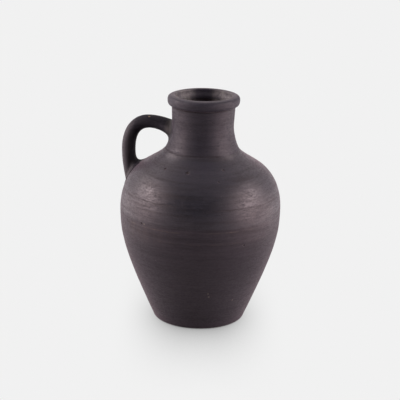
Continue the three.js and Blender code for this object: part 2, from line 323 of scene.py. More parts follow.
# Lower body: the lower half of the belly, thrown in the same earthenware from the floor disc out to the
# widest ring. It is ribbed smooth while wet and rubbed with a pebble; the finger grooves are left inside.
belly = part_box("lower_body")[1]
belly_wall = 0.0065
lower_pulls = (0.65, 0.21)
wall_ridge = 0.00007
finger_groove = 0.00028
belly_ring = Vector((belly.x, 0, belly.z))
belly_inner = Vector((belly.x - belly_wall, 0, belly.z))
lower_soot = (0.0164, 0.0140, 0.0214, 1)
lower_bloom = (0.0238, 0.0200, 0.0284, 1)
scratch_brown = (0.098, 0.066, 0.058, 1)
drip_brown = (0.062, 0.043, 0.042, 1)
speck_pale = (0.14, 0.112, 0.1, 1)
# Each scratch: its height, half width, breaks, turn round the pot, reach and share
scratches = ((0.1256, 0.0012, 0.40, -104, 0.87, 0.9),
             (0.1264, 0.0011, 0.40, -46, 0.9, 0.8),
             (0.1130, 0.0014, 0.46, -70, 0.5, 0.3))
belly_pits = (((-0.0378, -0.0828, 0.1289), 0.0022),
              ((-0.0704, -0.0577, 0.1297), 0.0021),
              ((0.0713, -0.0547, 0.1091), 0.0018))
belly_specks = ((-0.0345, -0.0842, 0.1284), (0.0545, -0.0396, 0.0374),
                (0.0343, -0.0638, 0.05), (0.0343, -0.0619, 0.0458))
speck_radius = 0.0019


def lean_curve(start, start_lean, end, end_lean, pulls, steps):
    """Points of a wall that leaves its start and reaches its end at the given angles from the vertical."""
    chord = (end - start).length
    leaving = start + Vector((math.sin(start_lean), 0, math.cos(start_lean))) * chord * pulls[0]
    arriving = end - Vector((math.sin(end_lean), 0, math.cos(end_lean))) * chord * pulls[1]
    return interpolate_bezier(start, leaving, arriving, end, steps)


lower_outside = lean_curve(disc_seam, foot_lean, belly_ring, 0, lower_pulls, 160)
lower_inside = lean_curve(disc_inner, foot_lean, belly_inner, 0, lower_pulls, 100)
lower = spun([*lower_outside, *reversed(lower_inside), lower_outside[0]])
throw_marks(lower, wall_ridge, finger_groove)

# A scored ring: a line at one height that wavers, breaks up as the tool skips, and can keep to one side
scored, given, out = effect("scored_ring", {"Height": 0.15, "Half width": 0.0008, "Breaks": 0.5,
                                            "Toward": (0.0, -1.0, 0.0), "Reach": -2.0}, ["Line"])
spot = spot_on(scored)
waver = mottle(scored, stretched(scored, spot, 14.0, 60.0), detail=3.0)
drift = reckon(scored, "MULTIPLY_ADD", waver, 0.003, -0.0015)
level = reckon(scored, "ADD", axes_of(scored, spot)["Z"], drift)
gap = reckon(scored, "ABSOLUTE", reckon(scored, "SUBTRACT", level, given["Height"]))
line = share_of(scored, gap, given["Half width"], 0.0, soft=True)
skips = mottle(scored, stretched(scored, spot, 60.0, 160.0), detail=4.0, roughness=0.6)
bite = share_of(scored, skips, given["Breaks"], 0.7)
outward = reckon_way(scored, "NORMALIZE", stretched(scored, spot, 1.0, 0.0))["Vector"]
facing = reckon_way(scored, "DOT_PRODUCT", outward, given["Toward"])["Value"]
side = share_of(scored, reckon(scored, "SUBTRACT", facing, given["Reach"]), 0.0, 0.12, soft=True)
cut = reckon(scored, "MULTIPLY", reckon(scored, "MULTIPLY", line, bite), side)
scored.links.new(cut, out["Line"])

# A single blemish: a small ragged spot, for a pit, a speck of grit or a chip
blemish, given, out = effect("blemish", {"Spot": (0.0, 0.0, 0.0), "Radius": 0.001}, ["Mask"])
spot = spot_on(blemish)
ragged = mottle(blemish, spot, 900.0)
apart = reckon_way(blemish, "DISTANCE", spot, given["Spot"])["Value"]
apart = reckon(blemish, "MULTIPLY_ADD", ragged, 0.0009, apart)
inner = reckon(blemish, "MULTIPLY", given["Radius"], 0.45)
blemish.links.new(share_of(blemish, apart, given["Radius"], inner, soft=True), out["Mask"])


def blended(tree, share, under, over):
    """One value laid over another by a share."""
    return place(tree, "ShaderNodeMix", {"Factor": share, 2: under, 3: over}, data_type="FLOAT").outputs[0]


def marked(tree, skin, mask, colour, dullness, rise):
    """Lays a mark over a finish: its colour, how dull it is, and how far it stands up or is cut in."""
    skin["colour"] = tinted(tree, mask, skin["colour"], colour)
    skin["rough"] = blended(tree, mask, skin["rough"], dullness)
    skin["polish"] = blended(tree, mask, skin["polish"], 0.0)
    skin["height"] = reckon(tree, "MULTIPLY_ADD", mask, rise, skin["height"])


def way_out(turn):
    """The way straight out from the pot's axis, at a turn in degrees round it."""
    return Vector((math.cos(math.radians(turn)), math.sin(math.radians(turn)), 0))


def ring_line(tree, height, half_width, breaks, toward, reach):
    """A scored ring on a finish, as far round to either side of a direction as it reaches."""
    values = {"Height": height, "Half width": half_width, "Breaks": breaks, "Toward": toward, "Reach": reach}
    return place(tree, "ShaderNodeGroup", values, node_tree=scored).outputs["Line"]


def blemished(tree, skin, spot, radius, colour, dullness, rise):
    """Lays one blemish on a finish."""
    mask = place(tree, "ShaderNodeGroup", {"Spot": spot, "Radius": radius}, node_tree=blemish).outputs["Mask"]
    marked(tree, skin, mask, colour, dullness, rise)


lower_finish, tree, shader, skin = clay_finish("lower_clay", lower_soot, lower_bloom,
                                               dull=0.34, burnish=0.15, leather=0.6, shine=0.53)
for height, half_width, breaks, turn, reach, share in scratches:
    scratch = ring_line(tree, height, half_width, breaks, way_out(turn), reach)
    marked(tree, skin, share_of(tree, scratch, 0.0, 0.8, top=share), scratch_brown, dullness=0.6, rise=-0.3)
spot = spot_on(tree)
along = axes_of(tree, spot)
run = share_of(tree, mottle(tree, stretched(tree, spot, 150.0, 14.0)), 0.45, 0.7, top=0.3)
for edge in (share_of(tree, along["Z"], 0.098, 0.118), share_of(tree, along["Z"], 0.127, 0.122),
             share_of(tree, along["X"], 0.01, -0.03)):
    run = reckon(tree, "MULTIPLY", run, edge)
skin["colour"] = tinted(tree, run, skin["colour"], drip_brown)
# Pits, coloured near black as painted shade inside them
for pit_spot, pit_radius in belly_pits:
    blemished(tree, skin, pit_spot, pit_radius, pit_shade, dullness=0.95, rise=-4.0)
for speck_spot in belly_specks:
    blemished(tree, skin, speck_spot, speck_radius, speck_pale, dullness=0.7, rise=1.0)
wear(tree, shader, skin)

lower_body = fired("lower_body_wall", lower, lower_finish)
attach(lower_body, "root")
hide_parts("lower_body")


# Shoulder: the upper half of the belly, thrown in the same clay as a dome that hollows towards the neck, and
# luted on rim to rim. The pot was lifted while soft, so from the belly up it leans away from its handle.
shoulder_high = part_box("shoulder")[1]
break_spot = Vector((0.0724, 0, 0.176))
break_lean = math.radians(-48.7)
break_wall = 0.0065
neck_root = Vector((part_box("neck")[1].x, 0, shoulder_high.z))
root_lean = math.radians(-36.2)
root_wall = 0.006
dome_pulls = (0.4, 0.32)
flare_pulls = (0.28, 0.29)
lean_share = 0.0154
lean_over = Matrix.Translation((-lean_share * belly.z, 0, 0)) @ Matrix.Shear("XY", 4, (lean_share, 0))
# Each scored arc: its height, its turn round the pot and half the turn that it spans
score_arcs = ((0.1502, -28, 36), (0.1538, -118, 32))
arc_depth = 0.00014
arc_half_width = 0.0006
seam_depth = 0.00045
seam_half_width = 0.0007
shoulder_soot = (0.0142, 0.0154, 0.0234, 1)
shoulder_bloom = (0.0194, 0.0201, 0.0294, 1)
smudge_and_groove_shade = (0.0045, 0.0049, 0.0075, 1)
crease_shade = (0.006, 0.005, 0.0065, 1)
crease_shade_side = (-0.35, -0.94, 0.0)
crease_height = 0.1984
# Each dark line, the first two painted shade in the scored arcs and the others dark marks: its height, half
# width, breaks, turn round the pot, reach, share and dullness
smudges_and_groove_shades = ((0.1502, 0.0013, 0.34, -28, 0.78, 0.8, 0.65),
           (0.1538, 0.0013, 0.34, -118, 0.8, 0.8, 0.65),
           (0.1436, 0.0019, 0.15, -77, 0.955, 1.0, 0.2),
           (0.1394, 0.0015, 0.2, -71, 0.96, 0.8, 0.2),
           (0.1515, 0.0016, 0.25, -72, 0.96, 0.8, 0.22),
           (0.1648, 0.0016, 0.25, -76, 0.94, 0.7, 0.22))
shoulder_pits = (((0.0062, -0.0588, 0.1844), 0.0034),
                 ((-0.0218, -0.0538, 0.1849), 0.0026),
                 ((0.0402, -0.0394, 0.1866), 0.0025),
                 ((0.0412, -0.0564, 0.1775), 0.0022))


def set_in(spot, lean, wall):
    """The inner side of a wall, square across it from a spot outside."""
    return spot + Vector((-math.cos(lean), 0, math.sin(lean))) * wall


def score(clay, height, depth, half_width, turn=0.0, half_turn=180.0):
    """Presses a shallow turned line into a wall's outside, all round or on one side, with skips."""
    clay.normal_update()
    middle = way_out(turn)
    for vert in clay.verts:
        outward = Vector((vert.co.x, vert.co.y, 0)).normalized()
        if vert.normal.dot(outward) > 0 and math.degrees(outward.angle(middle)) < half_turn:
            drift = 0.0009 * noise.noise(outward * 3)
            near = math.exp(-((vert.co.z - height - drift) / half_width) ** 2)
            bite = max(0.0, 0.5 + 1.1 * noise.noise(vert.co * 70))
            fade = 1.0
            if half_turn < 180:
                fade = min(1.0, (half_turn - math.degrees(outward.angle(middle))) / 12)
            vert.co -= outward * depth * near * bite * fade


break_inner = set_in(break_spot, break_lean, break_wall)
root_inner = set_in(neck_root, root_lean, root_wall)
dome_outside = lean_curve(belly_ring, 0, break_spot, break_lean, dome_pulls, 130)
flare_outside = lean_curve(break_spot, break_lean, neck_root, root_lean, flare_pulls, 70)
dome_inside = lean_curve(belly_inner, 0, break_inner, break_lean, dome_pulls, 50)
flare_inside = lean_curve(break_inner, break_lean, root_inner, root_lean, flare_pulls, 36)
shoulder_outside = [*dome_outside, *flare_outside[1:]]
shoulder_inside = [*dome_inside, *flare_inside[1:]]
dome = spun([*shoulder_outside, *reversed(shoulder_inside), shoulder_outside[0]])
throw_marks(dome, wall_ridge, finger_groove)
for height, turn, half_turn in score_arcs:
    score(dome, height, arc_depth, arc_half_width, turn, half_turn)
score(dome, shoulder_high.z, seam_depth, seam_half_width)
bmesh.ops.transform(dome, matrix=lean_over, verts=dome.verts)

shoulder_finish, tree, shader, skin = clay_finish("shoulder_clay", shoulder_soot, shoulder_bloom, dull=0.28,
                                                  burnish=0.16, leather=0.74, shine=0.62, sheen=0.38)
# Dark marks, and painted shade in the two scored arcs at the foot of the highlights
for height, half_width, breaks, turn, reach, share, dullness in smudges_and_groove_shades:
    smudge_and_shade_line = ring_line(tree, height, half_width, breaks, way_out(turn), reach)
    marked(tree, skin, share_of(tree, smudge_and_shade_line, 0.0, 0.8, top=share), smudge_and_groove_shade, dullness, rise=-0.4)
# Pits, coloured near black as painted shade inside them
for pit_spot, pit_radius in shoulder_pits:
    blemished(tree, skin, pit_spot, pit_radius, pit_shade, dullness=0.95, rise=-4.0)
# Painted shade in the crease of the neck's seam
crease = ring_line(tree, crease_height, 0.0013, 0.15, crease_shade_side, 0.3)
marked(tree, skin, crease, crease_shade, dullness=0.8, rise=-1.0)
wear(tree, shader, skin)

shoulder = fired("shoulder_dome", dome, shoulder_finish)
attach(shoulder, "root")
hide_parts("shoulder")


# Neck: a thrown collar of the same clay with a low waist, luted on at the top of the shoulder, where its
# seam still shows as a thin crease, darkened with painted shade. It is burnished like the shoulder.
neck_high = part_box("neck")[1]
waist = Vector((0.0347, 0, 0.225))
lip_seat = Vector((0.0356, 0, neck_high.z))
neck_wall = 0.006
neck_pulls = (0.19, 0.32)
throat_pulls = (0.33, 0.33)
neck_groove = 0.0002
neck_soot = (0.0179, 0.0170, 0.0257, 1)
neck_bloom = (0.0244, 0.0226, 0.0331, 1)
mouth_highlight_pale = (0.25, 0.214, 0.208, 1)
front_turn = math.radians(20)
mouth_shift = (0.0018, 0.0, 0.0)
# Each crease, darkened with painted shade: its height, half width, breaks and reach
neck_creases = ((0.1990, 0.0013, 0.15, 0.3), (0.2477, 0.0018, 0.0, -2.0))

waist_inner = set_in(waist, 0, neck_wall)
seat_inner = set_in(lip_seat, 0, neck_wall)
neck_outside = [*lean_curve(neck_root, root_lean, waist, 0, neck_pulls, 60),
                *lean_curve(waist, 0, lip_seat, 0, throat_pulls, 50)[1:]]
neck_inside = [*lean_curve(root_inner, root_lean, waist_inner, 0, neck_pulls, 34),
               *lean_curve(waist_inner, 0, seat_inner, 0, throat_pulls, 30)[1:]]
collar = spun([*neck_outside, *reversed(neck_inside), neck_outside[0]])
throw_marks(collar, wall_ridge, neck_groove)
score(collar, shoulder_high.z, seam_depth, seam_half_width)
bmesh.ops.transform(collar, matrix=lean_over, verts=collar.verts)


def from_front(tree, spot):
    """A place or direction taken apart across, into and up the pot, with its front turned forward."""
    turned = place(tree, "ShaderNodeMapping", {"Vector": spot, "Rotation": (0, 0, -front_turn)}).outputs[0]
    return axes_of(tree, turned)


# Mouth highlight: painted reflections of the side screens, as pale patches left and right of the mouth's
# front inside
mouth_highlight, given, out = effect("mouth_painted_highlight", {"Patches per metre": 190.0, "Clear middle": 0.008}, ["Dust"])
spot = spot_on(mouth_highlight)
upright = reckon_way(mouth_highlight, "SUBTRACT", spot, mouth_shift)["Vector"]
reach = reckon_way(mouth_highlight, "LENGTH", stretched(mouth_highlight, upright, 1.0, 0.0))["Value"]
across = reckon(mouth_highlight, "ABSOLUTE", from_front(mouth_highlight, upright)["X"])
beside = reckon(mouth_highlight, "SUBTRACT", across, given["Clear middle"])
patches = mottle(mouth_highlight, spot, given["Patches per metre"], detail=5.0, roughness=0.65)
painted_glint = share_of(mouth_highlight, patches, 0.28, 0.66, top=0.8)
for edge in (share_of(mouth_highlight, reach, 0.0335, 0.032), share_of(mouth_highlight, beside, 0.0, 0.009),
             share_of(mouth_highlight, axes_of(mouth_highlight, spot)["Z"], 0.228, 0.243)):
    painted_glint = reckon(mouth_highlight, "MULTIPLY", painted_glint, edge)
mouth_highlight.links.new(painted_glint, out["Dust"])


def mouth_highlighted(tree, skin):
    """Lays the painted highlight inside the mouth on a finish."""
    painted_glint = place(tree, "ShaderNodeGroup", {}, node_tree=mouth_highlight).outputs["Dust"]
    marked(tree, skin, painted_glint, mouth_highlight_pale, dullness=0.7, rise=0.3)


neck_finish, tree, shader, skin = clay_finish("neck_clay", neck_soot, neck_bloom,
                                              dull=0.4, burnish=0.1, leather=0.7, sheen=0.2)
# Painted shade in the crease of the seam and in the groove under the rim's lip
for height, half_width, breaks, reach in neck_creases:
    crease = ring_line(tree, height, half_width, breaks, crease_shade_side, reach)
    marked(tree, skin, crease, crease_shade, dullness=0.8, rise=-1.0)
# Painted highlight inside the mouth
mouth_highlighted(tree, skin)
wear(tree, shader, skin)

neck = fired("neck_collar", collar, neck_finish)
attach(neck, "root")
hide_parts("neck")


# Rim: a coil rolled on to the top of the neck and turned to a full round lip, with a sharp groove under it.
# Its top is painted a lighter grey as a painted highlight where the lip faces up.
rim_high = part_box("rim")[1]
crest = Vector((0.0343, 0, rim_high.z))
widest = Vector((rim_high.x, 0, rim_high.z - 0.0053))
mouth = Vector((0.0318, 0, rim_high.z - 0.0022))
lip_foot = Vector((lip_seat.x - 0.0006, 0, lip_seat.z - 0.0022))
under_lean = math.radians(80)
crest_lean = math.radians(-80)
level_in = math.radians(-90)
downward = math.radians(-180)
lip_pulls = (0.5, 0.5)
rim_soot = (0.0230, 0.0218, 0.0331, 1)
rim_bloom = (0.0301, 0.0280, 0.0410, 1)
rim_top_highlight_grey = (0.075, 0.065, 0.072, 1)

lip_line = [*lean_curve(lip_foot, under_lean, widest, 0, lip_pulls, 16),
            *lean_curve(widest, 0, crest, crest_lean, lip_pulls, 20)[1:],
            *lean_curve(crest, level_in, mouth, downward, lip_pulls, 12)[1:],
            *lean_curve(mouth, downward, seat_inner, downward, lip_pulls, 16)[1:]]
lip = spun([*lip_line, lip_line[0]])
throw_marks(lip, ridge=0.00005, groove=0.00005)
bmesh.ops.transform(lip, matrix=lean_over, verts=lip.verts)

rim_finish, tree, shader, skin = clay_finish("rim_clay", rim_soot, rim_bloom,
                                             dull=0.42, burnish=0.15, leather=0.6, sheen=0.12)
# Painted highlight inside the mouth, as on the neck
mouth_highlighted(tree, skin)
# Painted highlight: the band called ridge here is the top of the lip painted lighter grey, not a raised ridge
height = axes_of(tree, spot_on(tree))["Z"]
ridge = share_of(tree, height, rim_high.z - 0.0011, rim_high.z - 0.0003, top=0.5)
marked(tree, skin, ridge, rim_top_highlight_grey, dullness=0.4, rise=0.0)
wear(tree, shader, skin, depth=0.00014)

rim = fired("rolled_rim", lip, rim_finish)
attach(rim, "root")
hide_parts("rim")


# Handle: a strap pulled from a wet lump of clay, bent over two fingers and pressed on at the neck and the
# shoulder. It swells towards both roots, which run into the wall, and its clay is coloured darker than the
# pot's.
strap_sides = 40
strap_steps = 120
strap_width = (0.0205, 0.0195)
strap_thickness = (0.0148, 0.0148)
bend_swell = 0.0004
root_swell = (0.011, 0.002)
root_length = 0.02
root_sink = 0.005
upper_root = 0.2175
lower_root = 0.144
lower_depth = 0.0073
lower_sink = 0.01
handle_reach = belly.x - 0.0015
turn_height = 0.1893
upper_slope = math.radians(22)
lower_slope = math.radians(8)
arch_pulls = (0.45, 0.63)
drop_pulls = (0.41, 0.33)
strap_lumps = 0.0003
strap_nicks = 0.0001
chip_place = -0.062
chip_radius = 0.0023
strap_soot = (0.0140, 0.0124, 0.0182, 1)
strap_bloom = (0.0205, 0.0178, 0.0245, 1)
thumbed_grey = (0.052, 0.043, 0.042, 1)
painted_light_grey = (0.092, 0.077, 0.086, 1)
chip_buff = (0.24, 0.165, 0.115, 1)
pot_outline = [*lower_outside, *shoulder_outside[1:], *neck_outside[1:]]


def wall_radius(height):
    """Radius of the pot's outside at a height."""
    for low, high in zip(pot_outline, pot_outline[1:]):
        if low.z <= height <= high.z:
            return low.x + (high.x - low.x) * (height - low.z) / max(high.z - low.z, 1e-9)
    return pot_outline[0].x if height < pot_outline[0].z else pot_outline[-1].x


def off_wall(spot):
    """How far a spot stands outside the pot's wall."""
    return math.hypot(spot.x, spot.y) - wall_radius(spot.z)


def evenly(points, steps):
    """Points spaced evenly along a line of points."""
    lengths = [(b - a).length for a, b in zip(points, points[1:])]
    stride = sum(lengths) / steps
    spaced = [points[0]]
    walked = 0.0
    for start, end, length in zip(points, points[1:], lengths):
        while walked + length >= stride * len(spaced) - 1e-9 and len(spaced) < steps:
            spaced.append(start.lerp(end, (stride * len(spaced) - walked) / length))
        walked += length
    return [*spaced, points[-1]]


def strap_ring(step, side):
    """A spot on the strap's skin, at a step along its route and a side round it."""
    ahead = strap_route[min(step + 1, strap_steps)] - strap_route[max(step - 1, 0)]
    outward = Vector((0, 1, 0)).cross(ahead.normalized())
    share = step / strap_steps
    from_root = min(share, 1 - share) * strap_length - root_sink
    swell = max(0.0, min(1.0, 1 - from_root / root_length)) ** 2
    width = strap_width[0] + (strap_width[1] - strap_width[0]) * share + root_swell[0] * swell
    thickness = strap_thickness[0] + (strap_thickness[1] - strap_thickness[0]) * share + root_swell[1] * swell
    thickness += bend_swell * math.exp(-((share - 0.4) / 0.13) ** 2)
    angle = math.tau * side / strap_sides
    across = Vector((0, math.cos(angle) * width / 2, 0))
    return strap_route[step] + across + outward * math.sin(angle) * thickness / 2


upper_spot = Vector((-wall_radius(upper_root), 0, upper_root))
turn_spot = Vector((-handle_reach, 0, turn_height))
lower_spot = Vector((lower_depth - wall_radius(lower_root), 0, lower_root))
upper_way = Vector((-math.cos(upper_slope), 0, math.sin(upper_slope)))
lower_way = Vector((math.sin(lower_slope), 0, -math.cos(lower_slope)))
down_way = Vector((0, 0, -1))
arch_chord = (turn_spot - upper_spot).length
drop_chord = (lower_spot - turn_spot).length
arch = interpolate_bezier(upper_spot, upper_spot + upper_way * arch_chord * arch_pulls[0],
                          turn_spot - down_way * arch_chord * arch_pulls[1], turn_spot, 200)
drop = interpolate_bezier(turn_spot, turn_spot + down_way * drop_chord * drop_pulls[0],
                          lower_spot - lower_way * drop_chord * drop_pulls[1], lower_spot, 200)
strap_route = evenly([upper_spot - upper_way * root_sink, *arch, *drop[1:],
                      lower_spot + lower_way * lower_sink], strap_steps)
strap_length = sum((b - a).length for a, b in zip(strap_route, strap_route[1:]))

strap = bmesh.new()
sides = strap.verts.layers.int.new("side")
ring = bmesh.ops.create_circle(strap, cap_ends=True, radius=0.01, segments=strap_sides)["verts"]
for side, vert in enumerate(ring):
    vert[sides] = side
    vert.co = strap_ring(0, side)
cap = list(strap.faces)
for step in range(1, strap_steps + 1):
    pulled_on = bmesh.ops.extrude_face_region(strap, geom=cap)["geom"]
    if step > 1:
        bmesh.ops.delete(strap, geom=cap, context="FACES_ONLY")
    cap = [part for part in pulled_on if isinstance(part, bmesh.types.BMFace)]
    for part in pulled_on:
        if isinstance(part, bmesh.types.BMVert):
            part.co = strap_ring(step, part[sides])
bmesh.ops.recalc_face_normals(strap, faces=strap.faces)
for vert in strap.verts:
    free = max(0.0, min(1.0, (off_wall(vert.co) - 0.008) / 0.01))
    uneven = strap_lumps * noise.noise(vert.co * 60) + strap_nicks * noise.noise(vert.co * 220)
    vert.co += vert.normal * uneven * free
bmesh.ops.transform(strap, matrix=lean_over, verts=strap.verts)

# Strap light and marks: the outer side, painted lighter as painted light, and the two roots, which a thumb
# rubbed grey
strap_sizes = {"Inner side": -0.077, "Outer side": -0.0865, "Blotches per metre": 260.0}
strap_light_and_marks, given, out = effect("strap_light_and_marks", strap_sizes, ["Outer", "Root"])
spot = spot_on(strap_light_and_marks)
along = axes_of(strap_light_and_marks, spot)
lit_side = share_of(strap_light_and_marks, along["X"], given["Inner side"], given["Outer side"])
blotchy = mottle(strap_light_and_marks, spot, given["Blotches per metre"], detail=4.0, roughness=0.6)
ragged = reckon(strap_light_and_marks, "MULTIPLY_ADD", blotchy, 0.012, -0.006)
low_end = share_of(strap_light_and_marks, reckon(strap_light_and_marks, "ADD", along["Z"], ragged), 0.182, 0.166)
low_side = share_of(strap_light_and_marks, along["X"], -0.075, -0.086)
neck_end = share_of(strap_light_and_marks, reckon(strap_light_and_marks, "ADD", along["X"], ragged), -0.042, -0.036)
neck_side = share_of(strap_light_and_marks, along["Z"], 0.206, 0.220)
thumbed_low = reckon(strap_light_and_marks, "MULTIPLY", low_end, low_side)
thumbed_high = reckon(strap_light_and_marks, "MULTIPLY", neck_end, neck_side)
strap_light_and_marks.links.new(lit_side, out["Outer"])
strap_light_and_marks.links.new(reckon(strap_light_and_marks, "MAXIMUM", thumbed_low, thumbed_high), out["Root"])


def strap_finish(name):
    """The strap's clay: black from the smoke, painted lighter outside as painted light, grey and blotched at
    both roots.
    """
    finish, tree, shader, skin = clay_finish(name, strap_soot, strap_bloom, dull=0.5, burnish=0.05,
                                             leather=0.7, shine=0.14, sheen=0.03)
    marks = place(tree, "ShaderNodeGroup", {}, node_tree=strap_light_and_marks).outputs
    marked(tree, skin, share_of(tree, marks["Root"], 0.0, 1.0, top=0.8), thumbed_grey, dullness=0.5, rise=0.0)
    # Painted light: the strap's outer side is coloured a lighter grey
    marked(tree, skin, share_of(tree, marks["Outer"], 0.0, 1.0, top=0.85), painted_light_grey, dullness=0.5, rise=0.0)
    return finish, tree, shader, skin


handle_finish, tree, shader, skin = strap_finish("handle_clay")
near_chip = [vert.co for vert in strap.verts if abs(vert.co.x - chip_place) < 0.0015]
chip_spot = max(near_chip, key=lambda spot: spot.z - 0.35 * spot.y)
blemished(tree, skin, tuple(chip_spot), chip_radius, chip_buff, dullness=0.8, rise=-2.0)
wear(tree, shader, skin)

handle = fired("strap_handle", strap, handle_finish)
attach(handle, "root")
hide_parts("handle")


# Upper luting: a thin coil of soft clay pressed into the corner between the handle's root and the neck, and
# smoothed with a wet finger until it runs into both.
luting_rows = 18
luting_bed = 0.0015
strap_lap = 0.001
strap_tuck = 0.0004
wall_lap = 0.0003
wall_tuck = 0.0006
luting_grey = (0.0435, 0.0375, 0.0445, 1)


def up_the_strap(line, under, reach):
    """The corner where a line down the strap meets the wall, and the line back up from it over a reach."""
    clear, sunk = line[under - 1], line[under]
    corner = clear.lerp(sunk, off_wall(clear) / (off_wall(clear) - off_wall(sunk)))
    walked = 0.0
    way_up = [corner]
    for spot in reversed(line[:under]):
        stride = (spot - way_up[-1]).length
        if walked + stride >= reach:
            way_up.append(way_up[-1].lerp(spot, (reach - walked) / stride))
            break
        walked += stride
        way_up.append(spot)
    return corner, list(reversed(evenly(way_up, luting_rows)))


def over_the_wall(corner, away, reach):
    """A line on the pot's wall, from a corner away from the strap as far as a reach."""
    on_wall = []
    for row in range(luting_rows + 1):
        spot = corner + away * reach * row / luting_rows
        round_to = Vector((spot.x, spot.y, 0)).normalized() * wall_radius(spot.z)
        on_wall.append(Vector((round_to.x, round_to.y, spot.z)))
    return on_wall


def luting(toward_end, reach_inside, reach_outside, edge_height):
    """Clay thumbed into the corner between the strap and the wall, wider on the inner side of the loop."""
    middle = strap_steps // 2
    steps = list(range(middle, strap_steps + 1)) if toward_end else list(range(middle, -1, -1))
    sections = []
    for side in range(strap_sides):
        line = [strap_ring(step, side) for step in steps]
        under = next(i for i, spot in enumerate(line) if off_wall(spot) < 0)
        inside = 0.5 - 0.5 * math.sin(math.tau * side / strap_sides)
        reach = reach_outside + (reach_inside - reach_outside) * inside ** 3
        corner, on_strap = up_the_strap(line, under, reach)
        slope = (wall_radius(corner.z + 0.0005) - wall_radius(corner.z - 0.0005)) / 0.001
        outward = Vector((corner.x, corner.y, 0)).normalized()
        square = (outward - Vector((0, 0, slope))).normalized()
        away = corner - strap_route[steps[under]]
        away = (away - square * away.dot(square)).normalized()
        on_wall = over_the_wall(corner, away, reach)
        run = []
        for row in range(luting_rows + 1):
            share = row / luting_rows
            proud = square * edge_height * (1 - inside ** 4) * share ** 2
            run.append(on_strap[row].lerp(on_wall[row], share) + proud)
        into_strap = (strap_route[steps[under - 1]] - corner).normalized()
        up_strap = (on_strap[0] - on_strap[1]).normalized()
        first = on_strap[0] + up_strap * strap_lap + into_strap * strap_tuck
        last = on_wall[-1] + away * wall_lap - square * wall_tuck
        bed = corner + (into_strap - square).normalized() * luting_bed
        sections.append([first, *run, last, bed])
    coil = bmesh.new()
    rows = coil.verts.layers.int.new("row")
    lap = coil.verts.layers.float.new("lap")
    loop = [coil.verts.new(spot) for spot in sections[0]]
    for row, vert in enumerate(loop):
        vert[rows] = row
        vert[lap] = (row - 1) / luting_rows
    edges = [coil.edges.new(pair) for pair in zip(loop, loop[1:] + loop[:1])]
    for section in sections[1:] + sections[:1]:
        pressed = bmesh.ops.extrude_edge_only(coil, edges=edges)["geom"]
        edges = [part for part in pressed if isinstance(part, bmesh.types.BMEdge)]
        for part in pressed:
            if isinstance(part, bmesh.types.BMVert):
                part.co = section[part[rows]]
                part[lap] = (part[rows] - 1) / luting_rows
    bmesh.ops.remove_doubles(coil, verts=coil.verts, dist=1e-6)
    bmesh.ops.recalc_face_normals(coil, faces=coil.faces)
    bmesh.ops.transform(coil, matrix=lean_over, verts=coil.verts)
    return coil


upper_coil = luting(toward_end=False, reach_inside=0.008, reach_outside=0.006, edge_height=0.0002)

upper_finish, tree, shader, skin = strap_finish("upper_luting_clay")
lap_share = place(tree, "ShaderNodeAttribute", {}, attribute_name="lap").outputs["Fac"]
run_out = share_of(tree, lap_share, 0.35, 0.9)
skin["colour"] = tinted(tree, run_out, skin["colour"], luting_grey)
wear(tree, shader, skin)

upper_luting = fired("upper_luting_coil", upper_coil, upper_finish)
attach(upper_luting, "root")
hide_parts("upper_luting")


# Lower luting: the same soft clay at the handle's lower root, thumbed deep into the inner corner of the loop
# and left as a fine crease where the root lies along the shoulder, darkened with painted shade.
lap_shade = (0.0025, 0.002, 0.003, 1)

lower_coil = luting(toward_end=True, reach_inside=0.019, reach_outside=0.006, edge_height=0.0009)

lower_luting_finish, tree, shader, skin = strap_finish("lower_luting_clay")
lap_share = place(tree, "ShaderNodeAttribute", {}, attribute_name="lap").outputs["Fac"]
shaded_lap = share_of(tree, lap_share, 0.8, 0.97, top=0.6)
shade_breaks = share_of(tree, mottle(tree, spot_on(tree), 110.0, detail=3.0), 0.35, 0.65)
# Painted shade in the crease at the luting's edge on the wall, broken up by a mottle
marked(tree, skin, reckon(tree, "MULTIPLY", shaded_lap, shade_breaks), lap_shade, dullness=0.95, rise=0.0)
wear(tree, shader, skin)

lower_luting = fired("lower_luting_coil", lower_coil, lower_luting_finish)
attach(lower_luting, "root")
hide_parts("lower_luting")


# Floor: a wide sheet of pale studio paper, evenly bright, with a painted soft shadow before and behind its
# foot, from the pot's ambient occlusion. It is open under the foot and clear from below, so that the foot can
# be seen.
paper_level = 0.88
sheet_radius = 12
opening_radius = 0.04
shadow_reach = 0.2
under_paper = 0.0003
paper_grey = (0.22, 0.22, 0.22, 1)
white = (1, 1, 1, 1)

sheet = bmesh.new()
bmesh.ops.create_circle(sheet, cap_ends=True, radius=sheet_radius, segments=64)
bmesh.ops.inset_individual(sheet, faces=sheet.faces[:], thickness=sheet_radius - opening_radius)
under_foot = [face for face in sheet.faces if len(face.verts) > 4]
bmesh.ops.delete(sheet, geom=under_foot, context="FACES")
bmesh.ops.translate(sheet, verts=sheet.verts, vec=(0, 0, -under_paper))
floor_mesh = bpy.data.meshes.new("studio_floor")
sheet.to_mesh(floor_mesh)
sheet.free()

floor_finish = bpy.data.materials.new("studio_paper")
floor_finish.use_nodes = True
tree = floor_finish.node_tree
tree.nodes.remove(tree.nodes["Principled BSDF"])
across = reckon(tree, "ABSOLUTE", from_front(tree, spot_on(tree))["X"])
# Painted shadow: the pot's ambient occlusion darkens the paper's glow, in a band before and behind the foot
open_sky = place(tree, "ShaderNodeAmbientOcclusion", {"Distance": shadow_reach}, samples=16).outputs["AO"]
open_sky = share_of(tree, open_sky, -0.13, 0.92)
in_line = share_of(tree, across, 0.015, 0.1, top=0.0, bottom=1.0, soft=True)
shaded = blended(tree, in_line, 1.0, open_sky)
